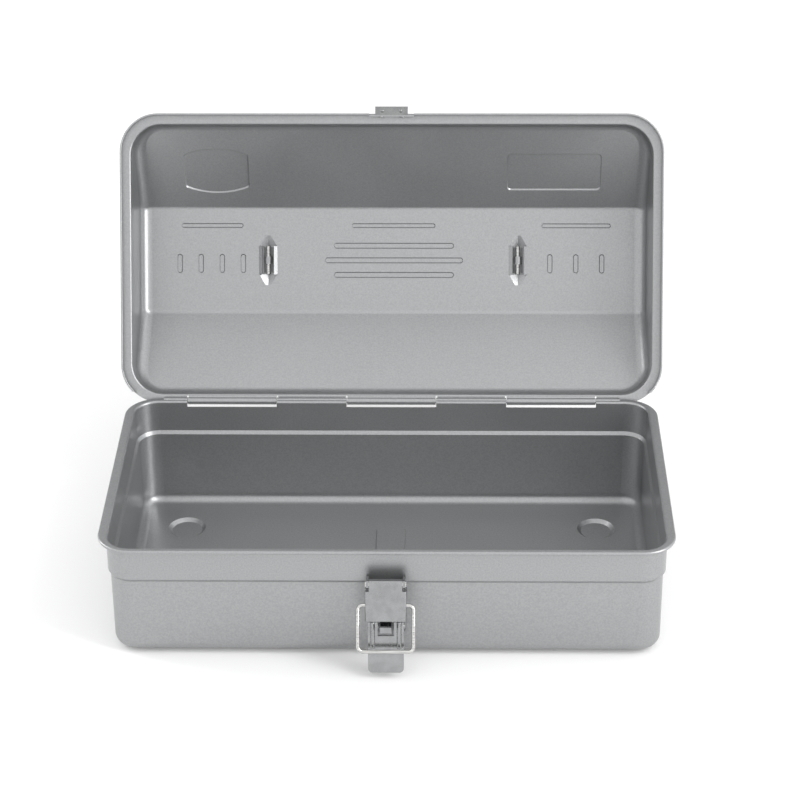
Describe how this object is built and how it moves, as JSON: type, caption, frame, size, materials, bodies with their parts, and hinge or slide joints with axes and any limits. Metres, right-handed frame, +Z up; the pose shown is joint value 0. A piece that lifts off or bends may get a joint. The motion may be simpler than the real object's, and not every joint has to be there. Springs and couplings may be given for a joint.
{
  "type": "tool box",
  "caption": "Pressed-steel tool box with a hip-shaped hinged lid, a carrying handle that lifts and a lever latch with a wire bail.",
  "frame": {"origin": "on the ground, under the middle of the body, at the height of the four pressed feet", "axes": "+X along the box's length to the right as seen from the latch, +Y from the latch to the hinge, +Z up"},
  "size_m": [0.2892, 0.2594, 0.2051],
  "materials": {
    "grey_paint": "silver-grey metallic spray paint over drawn mild steel, faint orange peel",
    "handle_paint": "the same silver-grey metallic paint on the pressed strap",
    "latch_steel": "zinc-plated pressed steel, satin",
    "catch_steel": "zinc-plated pressed steel, satin",
    "pin_steel": "bright plated steel rod",
    "wire_steel": "bright plated drawn wire"
  },
  "bodies": {
    "root": {"body_shell": "grey_paint", "hinge_pin": "pin_steel", "latch_base_plate": "latch_steel", "latch_rivets": "latch_steel", "latch_lever_pin": "pin_steel"},
    "lid": {"lid_shell": "grey_paint", "lid_catch": "catch_steel", "lid_catch_rivets": "catch_steel"},
    "handle": {"handle_grip": "handle_paint", "handle_pin_left": "pin_steel", "handle_pin_right": "pin_steel"},
    "lever": {"latch_lever": "latch_steel"},
    "bail": {"latch_bail": "wire_steel"}
  },
  "joints": [
    {"name": "lid_hinge", "type": "hinge", "parent": "root", "child": "lid", "pos_m": [0, 0.075, 0.0622], "axis": [1, 0, 0], "range_deg": [0, 114.8]},
    {"name": "handle_lift", "type": "slide", "parent": "lid", "child": "handle", "axis": [0, -0.9078, 0.4195], "range_m": [0, 0.012]},
    {"name": "lever_swing", "type": "hinge", "parent": "root", "child": "lever", "pos_m": [0, -0.0793, 0.0476], "axis": [-1, 0, 0], "range_deg": [-12, 90]},
    {"name": "bail_swing", "type": "hinge", "parent": "lever", "child": "bail", "pos_m": [0, -0.08231, 0.03754], "axis": [-1, 0, 0], "range_deg": [0, 94]}
  ]
}
